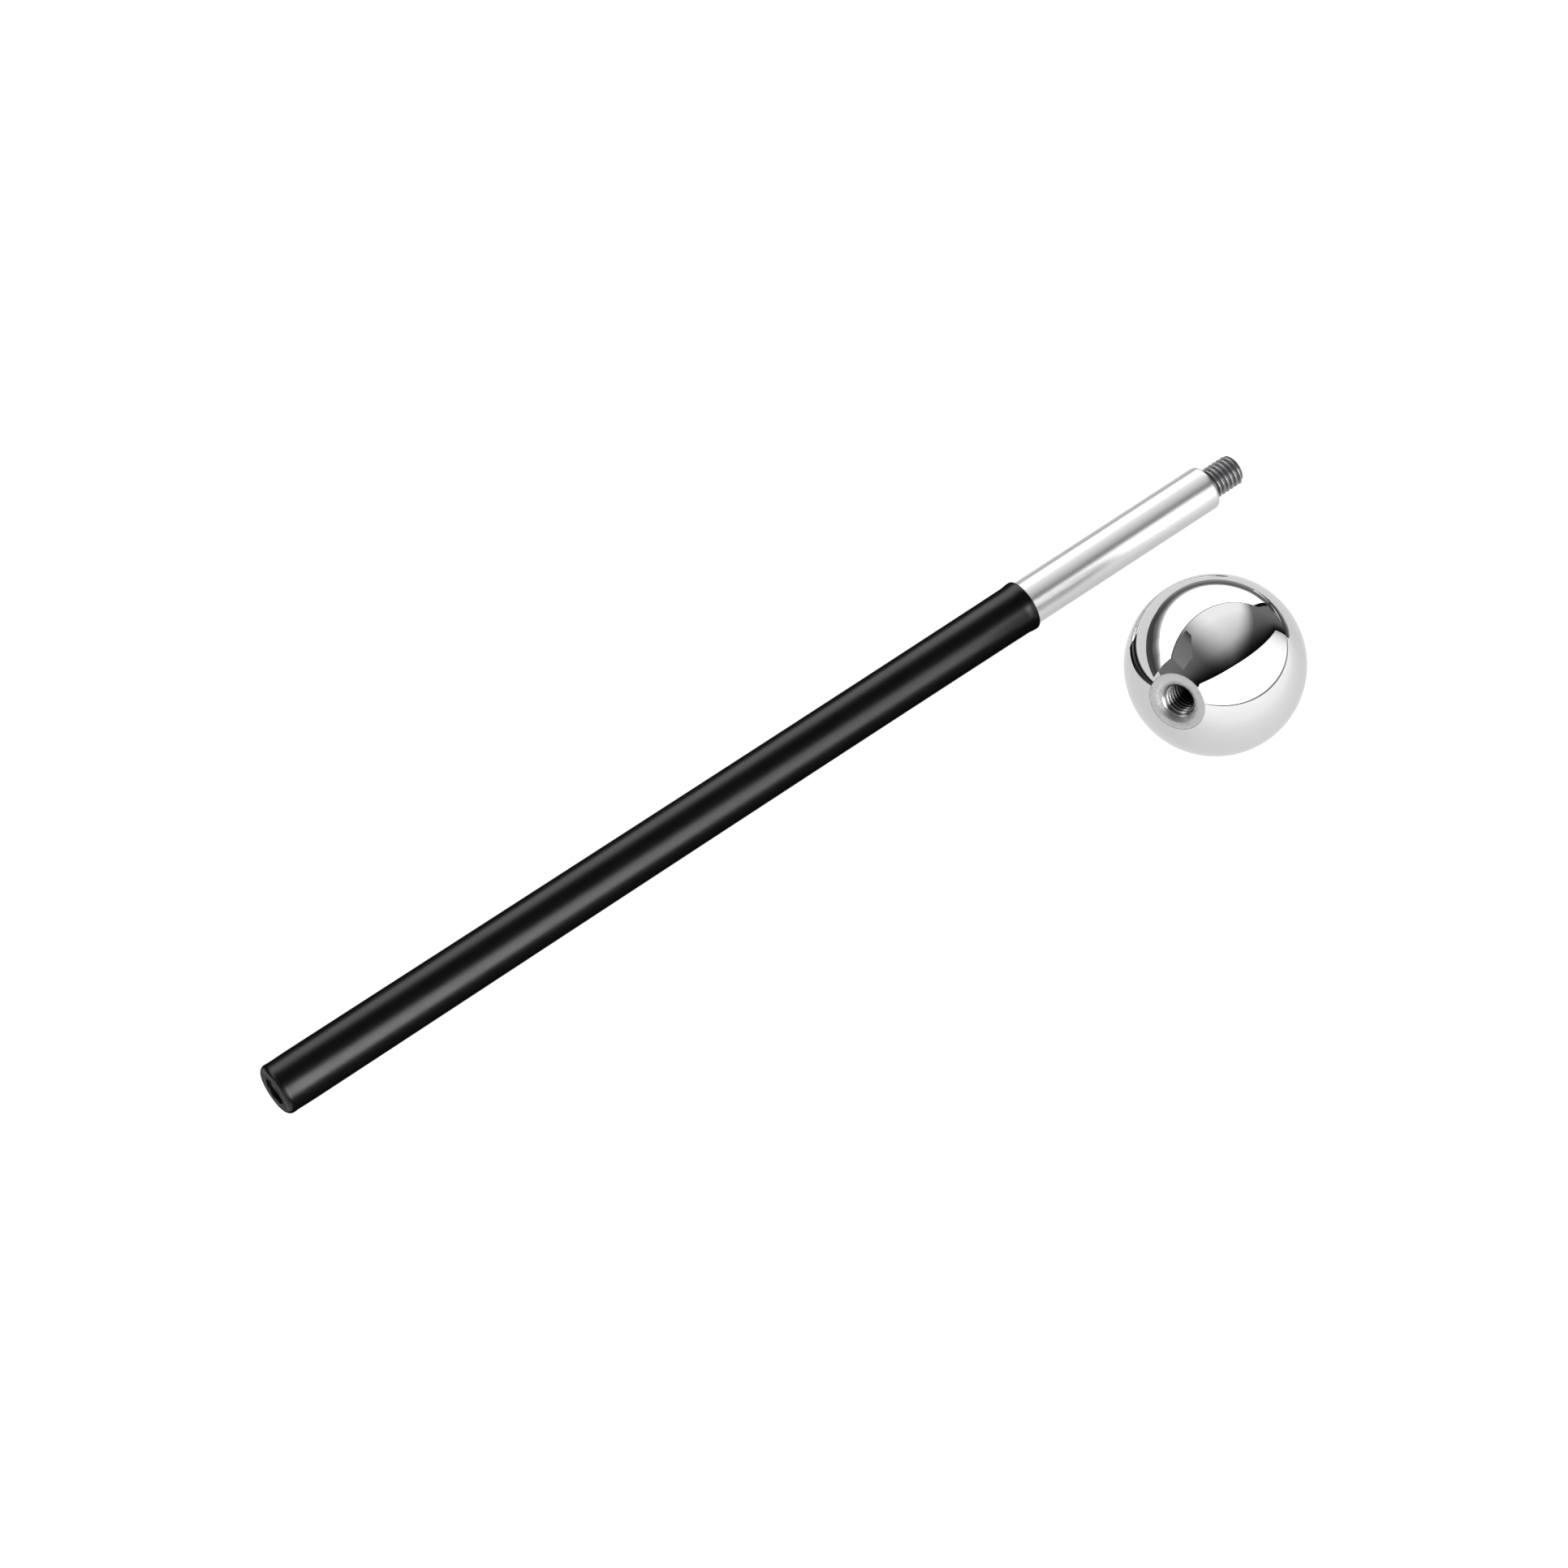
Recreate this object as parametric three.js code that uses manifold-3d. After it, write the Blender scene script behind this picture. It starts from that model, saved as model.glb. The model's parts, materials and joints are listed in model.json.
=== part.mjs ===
// A hand stick that comes apart, lying on a table: a bright round bar with a black sleeve shrunk over most of
// it, a threaded stud in its far end, and a mirror ball with a threaded bush, unscrewed and laid beside the
// stud. Millimetres, +Z up, the table is Z = 0. The stick lies along +X, stud last, and the origin is on the
// table under the middle of the whole arrangement.
import * as THREE from "three";
import { mergeVertices } from "three/addons/utils/BufferGeometryUtils.js";
import Module from "manifold-3d";

const wasm = await Module();
wasm.setup();

// The screw: a coarse metric M8 thread on the stud, in the bush and in the bar's butt.
const THREAD = { pitch: 1.25, crest: 3.98, root: 3.25 };
const TAPPED = { pitch: 1.25, crest: 4.08, root: 3.36 }; // the same thread with clearance, as a tap cuts it
const TAPPED_MOUTH = 4.2; // radius of the countersink where a tapped hole opens
const DRILL_POINT = 0.6; // a drilled hole ends in a cone this many radii deep

// The bar.
const BAR_R = 5.7;
const BAR_START = 0.9; // the sleeve's lip covers the bar's butt
const BAR_END = 278;
const SHOULDER_ROUND = 1.1;
const BUTT_CHAMFER = 0.5;
const BUTT_HOLE_DEPTH = 11;
const STUD_SEAT_R = 3.7;
const STUD_SEAT_DEPTH = 13;
const STUD_SEAT_MOUTH = 0.5; // depth of the seat's own small countersink

// The stud.
const STUD_OUT = 9; // how far it stands out of the shoulder
const STUD_IN = 12.6;
const STUD_SHANK_R = 3.6;
const STUD_SHANK_CHAMFER = 0.3;
const STUD_SHANK_TAPER = [-0.1, 0.25]; // where the shank narrows to the neck, from the shoulder
const STUD_NECK = 0.55; // plain neck between the shoulder and the first ridge
const STUD_RUN_OUT = 0.7; // length over which the ridges rise from the neck
const STUD_TIP = [[1.0, 4.08], [0.3, 3.4], [0, 3.0]]; // the chamfered tip: [back from the end, radius]

// The sleeve, thicker towards the butt and rolled into a low collar at the far rim.
const SLEEVE_BORE_R = 5.8;
const SLEEVE_END = 221.2;
const SLEEVE_LIP_HOLE_R = 3.3;
const SLEEVE_LIP_EDGE = 0.25;
const SLEEVE_LIP_ROUND = 1.5;
const SLEEVE_LIP_INSIDE = 0.8; // the lip's inner face, from the butt end
const SLEEVE_DIP = 0.08; // the film dips a little where it leaves the bar's end
const SLEEVE_BUTT_R = 6.5;
const SLEEVE_WAIST_R = 6.2;
const SLEEVE_RIM_R = 6.3;
const COLLAR_R = 6.5;
const COLLAR_LENGTH = 2.3;
const COLLAR_RISE = 0.7;
const COLLAR_EDGE = [[0.9, 0], [0.3, 0.15]]; // its rounded edge: [back from the rim, down from the collar]
const RIM_EDGE = 0.15;

// The ball: a hollow shell, cut flat where the bush comes through.
const BALL_R = 21.75;
const BALL_WALL = 1.6;
const BUSH_R = 7.25;
const BUSH_GAP = 0.13;
const BUSH_LENGTH = 12;
const BUSH_CHAMFER = 0.5;
const BUSH_BEVEL_R = 5.45; // a shallow bevel leads from the flat ring down to the threaded hole
const BUSH_BEVEL_DEPTH = 0.55;
const BALL_FLAT = Math.sqrt(BALL_R ** 2 - (BUSH_R + BUSH_GAP) ** 2); // from the ball's centre to the flat

// Where the ball lies: its centre from the butt end of the stick's axis, and the way its threaded hole faces.
const BALL_ALONG = 240.1;
const BALL_ASIDE = -48.4;
const HOLE_HEADING = THREE.MathUtils.degToRad(200);
const HOLE_ELEVATION = THREE.MathUtils.degToRad(25);

const ROUND_SIDES = 48;
const BALL_SIDES = 48;
const OUTSIDE_ROWS = 22; // rows of facets on the ball, outside and in its hollow
const INSIDE_ROWS = 11;
const THREAD_SIDES = 20;

// A closed geometry as a solid that can be cut or joined.
function toSolid(geometry) {
  const bare = geometry.clone();
  bare.deleteAttribute("normal");
  bare.deleteAttribute("uv");
  const merged = mergeVertices(bare, 1e-4);
  return new wasm.Manifold(
    new wasm.Mesh({
      numProp: 3,
      vertProperties: merged.attributes.position.array,
      triVerts: new Uint32Array(merged.index.array),
    }),
  );
}

// A solid back as a geometry.
function toGeometry(solid) {
  const { vertProperties, triVerts } = solid.getMesh();
  return new THREE.BufferGeometry()
    .setAttribute("position", new THREE.BufferAttribute(vertProperties, 3))
    .setIndex(new THREE.BufferAttribute(triVerts, 1));
}

// A turned body about the X axis. Its [along, radius] points start and end on the axis or close on themselves.
function turned(profile, sides = ROUND_SIDES) {
  const points = profile.map(([along, radius]) => new THREE.Vector2(radius, along));
  const geometry = new THREE.LatheGeometry(points, sides);
  const { array } = geometry.attributes.position;
  for (let i = 0; i < array.length; i += 3) {
    const [x, y, z] = array.slice(i, i + 3);
    array.set([y, z, x], i); // an even swap of axes: the lathe's Y becomes X
  }
  return geometry;
}

// Points of an arc in a profile, from one angle to another in degrees, 0 along the axis and 90 outwards.
function arc(along, radius, bend, from, to, steps) {
  return Array.from({ length: steps + 1 }, (_, i) => {
    const angle = THREE.MathUtils.degToRad(from + ((to - from) * i) / steps);
    return [along + bend * Math.cos(angle), radius + bend * Math.sin(angle)];
  });
}

// A screw about the X axis that covers at least start..end, right-handed: a helical band of four facets to the
// pitch, closed at each end by a fan to a point on the axis.
function screw({ pitch, crest, root }, start, end) {
  const section = [[0, root], [0.2, root], [0.54, crest], [0.66, crest]]; // [share of the pitch, radius]
  const first = start - 3 * pitch;
  const steps = THREAD_SIDES * Math.ceil((end + 2 * pitch - first) / pitch);
  const point = (step, facet) => {
    const [share, radius] = section[facet % section.length];
    const turns = step / THREAD_SIDES + Math.floor(facet / section.length) + share;
    const angle = (2 * Math.PI * step) / THREAD_SIDES;
    return [first + pitch * turns, radius * Math.cos(angle), radius * Math.sin(angle)];
  };
  const startTip = [first - pitch, 0, 0];
  const endTip = [point(steps, section.length)[0] + pitch, 0, 0];
  const corners = [];
  for (let step = 0; step < steps; step++)
    for (let facet = 0; facet < section.length; facet++) {
      const [low, lowNext] = [point(step, facet), point(step + 1, facet)];
      const [high, highNext] = [point(step, facet + 1), point(step + 1, facet + 1)];
      corners.push(low, lowNext, highNext, low, highNext, high);
    }
  for (let step = 0; step < THREAD_SIDES; step++) {
    const lastTurn = steps - THREAD_SIDES + step;
    corners.push(point(step + 1, 0), point(step, 0), startTip);
    corners.push(point(lastTurn, section.length), point(lastTurn + 1, section.length), endTip);
  }
  for (let facet = 0; facet < section.length; facet++) {
    corners.push(point(0, facet), point(0, facet + 1), startTip);
    corners.push(point(steps, facet + 1), point(steps, facet), endTip);
  }
  const positions = new THREE.Float32BufferAttribute(corners.flat(), 3);
  return toSolid(new THREE.BufferGeometry().setAttribute("position", positions));
}

// What drill, countersink and tap take out of a piece: a threaded hole along X from its mouth to its bottom.
function tappedHole(mouth, bottom, mouthR) {
  const inward = Math.sign(bottom - mouth);
  const facing = (profile) => toSolid(turned(inward > 0 ? profile : profile.reverse(), THREAD_SIDES));
  const outside = mouth - inward;
  const sink = mouth + inward * (mouthR - TAPPED.root);
  const drill = facing([
    [outside, 0],
    [outside, mouthR + 1],
    [sink, TAPPED.root],
    [bottom, TAPPED.root],
    [bottom + inward * DRILL_POINT * TAPPED.root, 0],
  ]);
  const last = bottom - inward;
  const tapped = facing([[outside, 0], [outside, mouthR + 1], [last, mouthR + 1], [last, 0]]);
  const thread = screw(TAPPED, Math.min(mouth, bottom), Math.max(mouth, bottom));
  return drill.add(tapped.intersect(thread));
}

function makeBar() {
  const blank = turned([
    [BAR_START, 0],
    [BAR_START, BAR_R - BUTT_CHAMFER],
    [BAR_START + BUTT_CHAMFER, BAR_R],
    ...arc(BAR_END - SHOULDER_ROUND, BAR_R - SHOULDER_ROUND, SHOULDER_ROUND, 90, 0, 5),
    [BAR_END, 0],
  ]);
  const seat = turned([
    [BAR_END - STUD_SEAT_DEPTH - DRILL_POINT * STUD_SEAT_R, 0],
    [BAR_END - STUD_SEAT_DEPTH, STUD_SEAT_R],
    [BAR_END - STUD_SEAT_MOUTH, STUD_SEAT_R],
    [BAR_END, TAPPED_MOUTH],
    [BAR_END + 1, TAPPED_MOUTH],
    [BAR_END + 1, 0],
  ], THREAD_SIDES);
  const buttHole = tappedHole(BAR_START, BAR_START + BUTT_HOLE_DEPTH, TAPPED_MOUTH);
  return toGeometry(toSolid(blank).subtract(toSolid(seat)).subtract(buttHole));
}

function makeStud() {
  const inner = BAR_END - STUD_IN;
  const neck = BAR_END + STUD_NECK;
  const tip = BAR_END + STUD_OUT;
  const [taperStart, taperEnd] = STUD_SHANK_TAPER;
  const shank = turned([
    [inner, 0],
    [inner, STUD_SHANK_R - STUD_SHANK_CHAMFER],
    [inner + STUD_SHANK_CHAMFER, STUD_SHANK_R],
    [BAR_END + taperStart, STUD_SHANK_R],
    [BAR_END + taperEnd, THREAD.root],
    [neck + STUD_RUN_OUT, THREAD.root],
    [neck + STUD_RUN_OUT, 0],
  ], THREAD_SIDES);
  const blank = turned([
    [neck, 0],
    [neck, THREAD.root],
    [neck + STUD_RUN_OUT, STUD_TIP[0][1]],
    ...STUD_TIP.map(([back, radius]) => [tip - back, radius]),
    [tip, 0],
  ], THREAD_SIDES);
  return toGeometry(toSolid(blank).intersect(screw(THREAD, BAR_END, tip)).add(toSolid(shank)));
}

function makeSleeve() {
  const lip = SLEEVE_LIP_ROUND;
  const collar = SLEEVE_END - COLLAR_LENGTH;
  return turned([
    [SLEEVE_LIP_EDGE, SLEEVE_LIP_HOLE_R],
    [0, SLEEVE_LIP_HOLE_R + SLEEVE_LIP_EDGE],
    ...arc(lip, SLEEVE_BUTT_R - lip, lip, 180, 90, 6),
    [3.2, SLEEVE_BUTT_R - SLEEVE_DIP],
    [6, SLEEVE_BUTT_R],
    [90, (SLEEVE_BUTT_R + SLEEVE_WAIST_R) / 2],
    [172, SLEEVE_WAIST_R],
    [collar - 1, SLEEVE_RIM_R],
    [collar, SLEEVE_RIM_R],
    [collar + COLLAR_RISE, COLLAR_R],
    ...COLLAR_EDGE.map(([back, down]) => [SLEEVE_END - back, COLLAR_R - down]),
    [SLEEVE_END, SLEEVE_BORE_R + RIM_EDGE],
    [SLEEVE_END, SLEEVE_BORE_R],
    [SLEEVE_LIP_INSIDE, SLEEVE_BORE_R],
    [SLEEVE_LIP_INSIDE, SLEEVE_LIP_HOLE_R],
    [SLEEVE_LIP_EDGE, SLEEVE_LIP_HOLE_R],
  ]);
}

function makeShell() {
  const mouth = BUSH_R + BUSH_GAP;
  const inside = BALL_R - BALL_WALL;
  const outerMouth = THREE.MathUtils.radToDeg(Math.asin(mouth / BALL_R));
  const innerMouth = THREE.MathUtils.radToDeg(Math.asin(mouth / inside));
  return turned([
    [-BALL_R, 0],
    ...arc(0, 0, BALL_R, 180, outerMouth, OUTSIDE_ROWS).slice(1),
    ...arc(0, 0, inside, innerMouth, 180, INSIDE_ROWS).slice(0, -1),
    [-inside, 0],
  ], BALL_SIDES);
}

function makeBush() {
  const back = BALL_FLAT - BUSH_LENGTH;
  const blank = turned([
    [back, 0],
    [back, BUSH_R - BUSH_CHAMFER],
    [back + BUSH_CHAMFER, BUSH_R],
    [BALL_FLAT, BUSH_R],
    [BALL_FLAT, BUSH_BEVEL_R],
    [BALL_FLAT - BUSH_BEVEL_DEPTH, TAPPED_MOUTH],
    [BALL_FLAT - BUSH_BEVEL_DEPTH, 0],
  ], BALL_SIDES);
  const past = back - 2 * TAPPED.pitch; // drilled and tapped right through
  const hole = tappedHole(BALL_FLAT - BUSH_BEVEL_DEPTH, past, TAPPED_MOUTH);
  return toGeometry(toSolid(blank).subtract(hole));
}

// Every piece, with its finish. Metals are told apart by how bright and how rough they are.
function piece(name, geometry, color, roughness, metalness) {
  const mesh = new THREE.Mesh(geometry, new THREE.MeshStandardMaterial({ color, roughness, metalness }));
  mesh.name = name;
  return mesh;
}

const stick = new THREE.Group();
stick.add(
  piece("bar", makeBar(), "#d9dadb", 0.15, 1),
  piece("threaded_stud", makeStud(), "#6b6b6d", 0.35, 1),
  piece("grip_sleeve", makeSleeve(), "#161617", 0.4, 0),
);

const ball = new THREE.Group();
ball.add(
  piece("ball_shell", makeShell(), "#e6e7e8", 0.03, 1),
  piece("ball_bush", makeBush(), "#b9babb", 0.3, 1),
);
ball.rotation.set(0, -HOLE_ELEVATION, HOLE_HEADING, "ZYX");
ball.position.set(BALL_ALONG, BALL_ASIDE, BALL_R - SLEEVE_BUTT_R);

const part = new THREE.Group();
part.add(stick, ball);
part.position.set(-(BAR_END + STUD_OUT) / 2, (BALL_R - BALL_ASIDE - SLEEVE_BUTT_R) / 2, SLEEVE_BUTT_R);

export default part;
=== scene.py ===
# %% [markdown]
# # A take-apart hand stick with a mirror ball
#
# This file builds one object: a bright steel bar in a black sleeve, a threaded stud in its end, and a
# mirror ball with a threaded bush, unscrewed and lying beside the stick. Nearly every piece of it was
# made on a lathe, so the lesson is about turned shapes: how to spin a profile, how to give a screw its
# real ridges with Geometry Nodes, and how to light polished metal, which shows nothing but the room
# around it.
#
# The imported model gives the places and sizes. Everything here is in metres, in that model's frame.

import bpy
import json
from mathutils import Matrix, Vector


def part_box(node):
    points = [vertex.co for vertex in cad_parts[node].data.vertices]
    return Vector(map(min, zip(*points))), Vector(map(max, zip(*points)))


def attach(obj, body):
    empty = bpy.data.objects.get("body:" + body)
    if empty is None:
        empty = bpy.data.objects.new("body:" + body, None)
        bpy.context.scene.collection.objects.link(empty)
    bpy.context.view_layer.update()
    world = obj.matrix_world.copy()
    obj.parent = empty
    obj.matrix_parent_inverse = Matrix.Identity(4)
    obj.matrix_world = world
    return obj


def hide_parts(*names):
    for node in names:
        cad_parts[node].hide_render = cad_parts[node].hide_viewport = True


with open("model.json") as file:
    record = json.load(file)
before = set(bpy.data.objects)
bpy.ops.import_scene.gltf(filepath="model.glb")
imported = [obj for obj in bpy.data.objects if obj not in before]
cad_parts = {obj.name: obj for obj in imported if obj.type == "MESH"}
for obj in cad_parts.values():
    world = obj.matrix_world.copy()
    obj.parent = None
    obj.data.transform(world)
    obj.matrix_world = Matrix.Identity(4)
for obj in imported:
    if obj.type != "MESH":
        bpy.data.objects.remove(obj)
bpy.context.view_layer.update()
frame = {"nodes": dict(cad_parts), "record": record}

import json
import math

import bmesh
import bpy
from mathutils import Matrix, Vector

print("nodes:", sorted(frame["nodes"]))

# %% [markdown]
# ## Two axes carry everything
#
# The bar, stud and sleeve share one axis, and the ball's shell and bush share another. So each piece is
# modelled along its own X axis, in millimetres, and then carried into place by one of two matrices. The
# stick's matrix starts at the butt end of the sleeve. The ball's is at the middle of the ball, with X
# through the threaded hole.

# %% The stick's axis and the ball's axis
MM = 0.001

sleeve_low, sleeve_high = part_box("grip_sleeve")
bar_low, bar_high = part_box("bar")
shell_low, shell_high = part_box("ball_shell")
seat = next(mount for mount in frame["record"]["mounts"] if mount["name"] == "ball_seat")

bar_middle = (bar_low + bar_high) / 2
ball_middle = (shell_low + shell_high) / 2
hole_axis = Vector(seat["axis"]).normalized()

scale_mm = Matrix.Scale(MM, 4)
stick_place = Matrix.Translation((sleeve_low.x, bar_middle.y, bar_middle.z))
ball_place = Matrix.Translation(ball_middle) @ hole_axis.to_track_quat("X", "Z").to_matrix().to_4x4()
print("hole axis:", tuple(round(value, 3) for value in hole_axis))

# %% [markdown]
# ## Driving sizes
#
# All in millimetres, along and out from each piece's own axis. They repeat the model's, because these
# pieces stand for its faceted ones and must fill the same space. The screw is one size throughout: the
# stud's profile is a tenth of a millimetre smaller in radius than that of the two tapped holes, so that
# it would turn in them.

# %% Sizes of the screw thread
THREAD_PITCH = 1.25
STUD_CREST, STUD_ROOT = 3.98, 3.25
TAPPED_CREST, TAPPED_ROOT = 4.08, 3.36
TAPPED_MOUTH = 4.2
TAPPED_BOTTOM = TAPPED_CREST + 0.02
CREST_HALF = 0.07  # half of a ridge's crest, as a share of the pitch
FLANK_SPAN = 0.32  # how far a flank runs along the axis, as a share of the pitch
CREST_SOFTNESS = 0.10
ROOT_SOFTNESS = 0.14
ROWS_PER_PITCH = 26
SIDES = 192
print("ridge height", round(STUD_CREST - STUD_ROOT, 2), "mm, pitch", THREAD_PITCH, "mm")

# %% Sizes of the bar and the stud
BAR_RADIUS = 5.7
BAR_START = 0.9
BAR_END = (bar_high.x - sleeve_low.x) / MM
SHOULDER_ROUND = 1.1
EDGE_BREAK = 0.5  # the small chamfer on the bar's butt, its seat and the bush's back
BUTT_HOLE_DEPTH = 11.0
BUTT_HOLE_POINT = 2.0
SEAT_RADIUS = 3.72
SEAT_DEPTH = 13.0
SEAT_POINT = 2.2
HELD_START, HELD_END = 6.0, 4.0  # a ring this far from each end keeps the smooth shading of the bar level

STUD_OUT = 9.0
STUD_IN = 12.6
SHANK_RADIUS = 3.6
SHANK_BREAK = 0.3
SHANK_SHORT = 0.1
NECK_RADIUS = 3.2
NECK_LENGTH = 0.35
TIP_RADIUS = 2.95
TIP_SLOPE = 1.3
print("bar ends at", round(BAR_END, 2), "mm, stud tip at", round(BAR_END + STUD_OUT, 2), "mm")

# %% Sizes of the sleeve
SLEEVE_END = (sleeve_high.x - sleeve_low.x) / MM
SLEEVE_BORE = 5.8
LIP_BACK = BAR_START - 0.1
LIP_HOLE = 3.3
LIP_EDGE = 0.3
LIP_DRAFT = 0.05
LIP_ROUND = 1.5
BUTT_RADIUS = 6.5
BUTT_DIP = ((2.6, 0.06), (3.6, 0.07), (5.0, 0.02))  # (along, how far the film sinks in)
THINNING_START, THINNING_END = 8.0, 172.0
WAIST_RADIUS = 6.2
WAIST_END = 195.0
RIM_RADIUS = 6.3
RIM_RUN = 6.0
RIM_DRAFT = 0.04
COLLAR_RADIUS = 6.5
COLLAR_LENGTH = 2.3
COLLAR_LEAD = 0.8  # the rise starts this far before the collar
COLLAR_RISE = 2.1
FILM_EASE = 0.03  # how far the film strays from a straight run between the waist and the rim
COLLAR_ROUND = 0.55
print("sleeve ends at", round(SLEEVE_END, 2), "mm")

# %% Sizes of the ball and its bush
BALL_RADIUS = 21.75
BALL_WALL = 1.6
FLAT_EDGE = 7.38
BALL_FLAT = math.sqrt(BALL_RADIUS**2 - FLAT_EDGE**2)
SHELL_MOUTH = 7.29
MOUTH_BREAK = 0.05
MOUTH_DRAFT = 0.02
BUSH_RADIUS = 7.25
BUSH_LENGTH = 12.0
BUSH_BREAK = 0.05
BEVEL_RADIUS = 5.45
BEVEL_DEPTH = 0.55
BEVEL_LEAD, BEVEL_EASE = 0.2, 0.04  # the soft upper edge of the bevel, out and in
FOOT_RUN, FOOT_RISE = 0.25, 0.12  # the soft lower edge of the bevel, out and up
print("flat stands", round(BALL_FLAT, 2), "mm from the middle of the ball")

# %% [markdown]
# ## A lathe in code
#
# A turned piece is a profile spun round an axis. Blender has a Screw modifier and a spin tool for that.
# Here the rings are made one by one in bmesh instead, because then every ring has the same corners at the
# same angles, and rings of two different meshes weld exactly where a plain wall meets a screw thread. A
# point on the axis becomes a single vertex, so the poles are closed.

# %% Spin a profile into a closed skin
ON_AXIS = 1e-6


def arc(along, out, bend, start, end, steps):
    """Points of an arc in a profile. Angles are in degrees: 0 points along the axis and 90 away from it."""
    points = []
    for step in range(steps + 1):
        angle = math.radians(start + (end - start) * step / steps)
        points.append((along + bend * math.cos(angle), out + bend * math.sin(angle)))
    return points


def spin(skin, profile, sides=SIDES):
    """Adds the skin that a profile of (along, out) points leaves as it turns once round the X axis."""
    rings = []
    for along, out in profile:
        count = 1 if out < ON_AXIS else sides
        angles = [2 * math.pi * side / sides for side in range(count)]
        rings.append([skin.verts.new((along, out * math.cos(a), out * math.sin(a))) for a in angles])
    for low, high in zip(rings, rings[1:]):
        for side in range(sides):
            after = (side + 1) % sides
            corners = [low[side % len(low)], low[after % len(low)]]
            corners += [high[after % len(high)], high[side % len(high)]]
            skin.faces.new(list(dict.fromkeys(corners)))


print("a quarter circle in three steps:", [(round(x, 2), round(y, 2)) for x, y in arc(0, 0, 1, 0, 90, 3)])

# %% [markdown]
# ## A screw thread from Geometry Nodes
#
# A thread is one rule repeated: the wall's radius depends only on where a point is between one ridge and
# the next. So a flat grid is rolled into a tube, and each point is pushed out by that rule. The tree has
# named inputs for every size, and one of them, Side, is 1 for the ridges on a stud and -1 for the ridges
# in a hole. Two cones trim the ridges at the ends, as a chamfer does, and leave each end as a plain
# circle to weld to.

# %% One function adds a node with its settings and links
def add(tree, kind, inputs=(), **settings):
    """Adds a node. Its inputs may be values, sockets, or nodes, which stand for their first output."""
    made = tree.nodes.new(kind)
    for name, value in settings.items():
        setattr(made, name, value)
    pairs = inputs.items() if isinstance(inputs, dict) else enumerate(inputs)
    for key, value in pairs:
        source = value.outputs[0] if isinstance(value, bpy.types.Node) else value
        if isinstance(source, bpy.types.NodeSocket):
            tree.links.new(source, made.inputs[key])
        else:
            made.inputs[key].default_value = source
    return made


# %% Build the thread tree
THREAD_SIZES = (
    "Length", "Pitch", "Crest", "Root", "Start radius", "Start slope", "End radius", "End slope", "Side",
)
MATH = "ShaderNodeMath"
WELD_GAP = 1e-4


def name_thread_inputs(tree):
    """The tree's named inputs and its one output."""
    tree.interface.new_socket("Geometry", in_out="INPUT", socket_type="NodeSocketGeometry")
    for name in THREAD_SIZES:
        tree.interface.new_socket(name, in_out="INPUT", socket_type="NodeSocketFloat")
    tree.interface.new_socket("Rows per pitch", in_out="INPUT", socket_type="NodeSocketInt")
    tree.interface.new_socket("Sides", in_out="INPUT", socket_type="NodeSocketInt")
    tree.interface.new_socket("Finish", in_out="INPUT", socket_type="NodeSocketMaterial")
    tree.interface.new_socket("Geometry", in_out="OUTPUT", socket_type="NodeSocketGeometry")


def ridge_radius(tree, given, along, turn):
    """How far out the wall stands at a place along the thread and at a share of a turn."""
    side = given["Side"]
    crest = add(tree, MATH, (given["Crest"], side), operation="MULTIPLY")
    root = add(tree, MATH, (given["Root"], side), operation="MULTIPLY")
    height = add(tree, MATH, (crest, root), operation="SUBTRACT")
    ridges = add(tree, MATH, (along, given["Pitch"]), operation="DIVIDE")
    wound = add(tree, MATH, (ridges, turn), operation="SUBTRACT")
    phase = add(tree, MATH, (wound,), operation="FRACT")
    off_crest = add(tree, MATH, (phase, 0.5), operation="SUBTRACT")
    from_crest = add(tree, MATH, (off_crest,), operation="ABSOLUTE")
    steepness, offset = -1 / FLANK_SPAN, CREST_HALF / FLANK_SPAN
    share_down = add(tree, MATH, (from_crest, steepness, offset), operation="MULTIPLY_ADD")
    flank = add(tree, MATH, (share_down, height, crest), operation="MULTIPLY_ADD")
    soft_crest = add(tree, MATH, (flank, crest, CREST_SOFTNESS), operation="SMOOTH_MIN")
    ridge = add(tree, MATH, (soft_crest, root, ROOT_SOFTNESS), operation="SMOOTH_MAX")

    left = add(tree, MATH, (given["Length"], along), operation="SUBTRACT")
    start_rise = add(tree, MATH, (given["Start slope"], along), operation="MULTIPLY")
    start_cone = add(tree, MATH, (given["Start radius"], side, start_rise), operation="MULTIPLY_ADD")
    end_rise = add(tree, MATH, (given["End slope"], left), operation="MULTIPLY")
    end_cone = add(tree, MATH, (given["End radius"], side, end_rise), operation="MULTIPLY_ADD")
    cones = add(tree, MATH, (start_cone, end_cone), operation="MINIMUM")
    trimmed = add(tree, MATH, (ridge, cones), operation="MINIMUM")
    return add(tree, MATH, (trimmed, side), operation="MULTIPLY")


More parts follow.
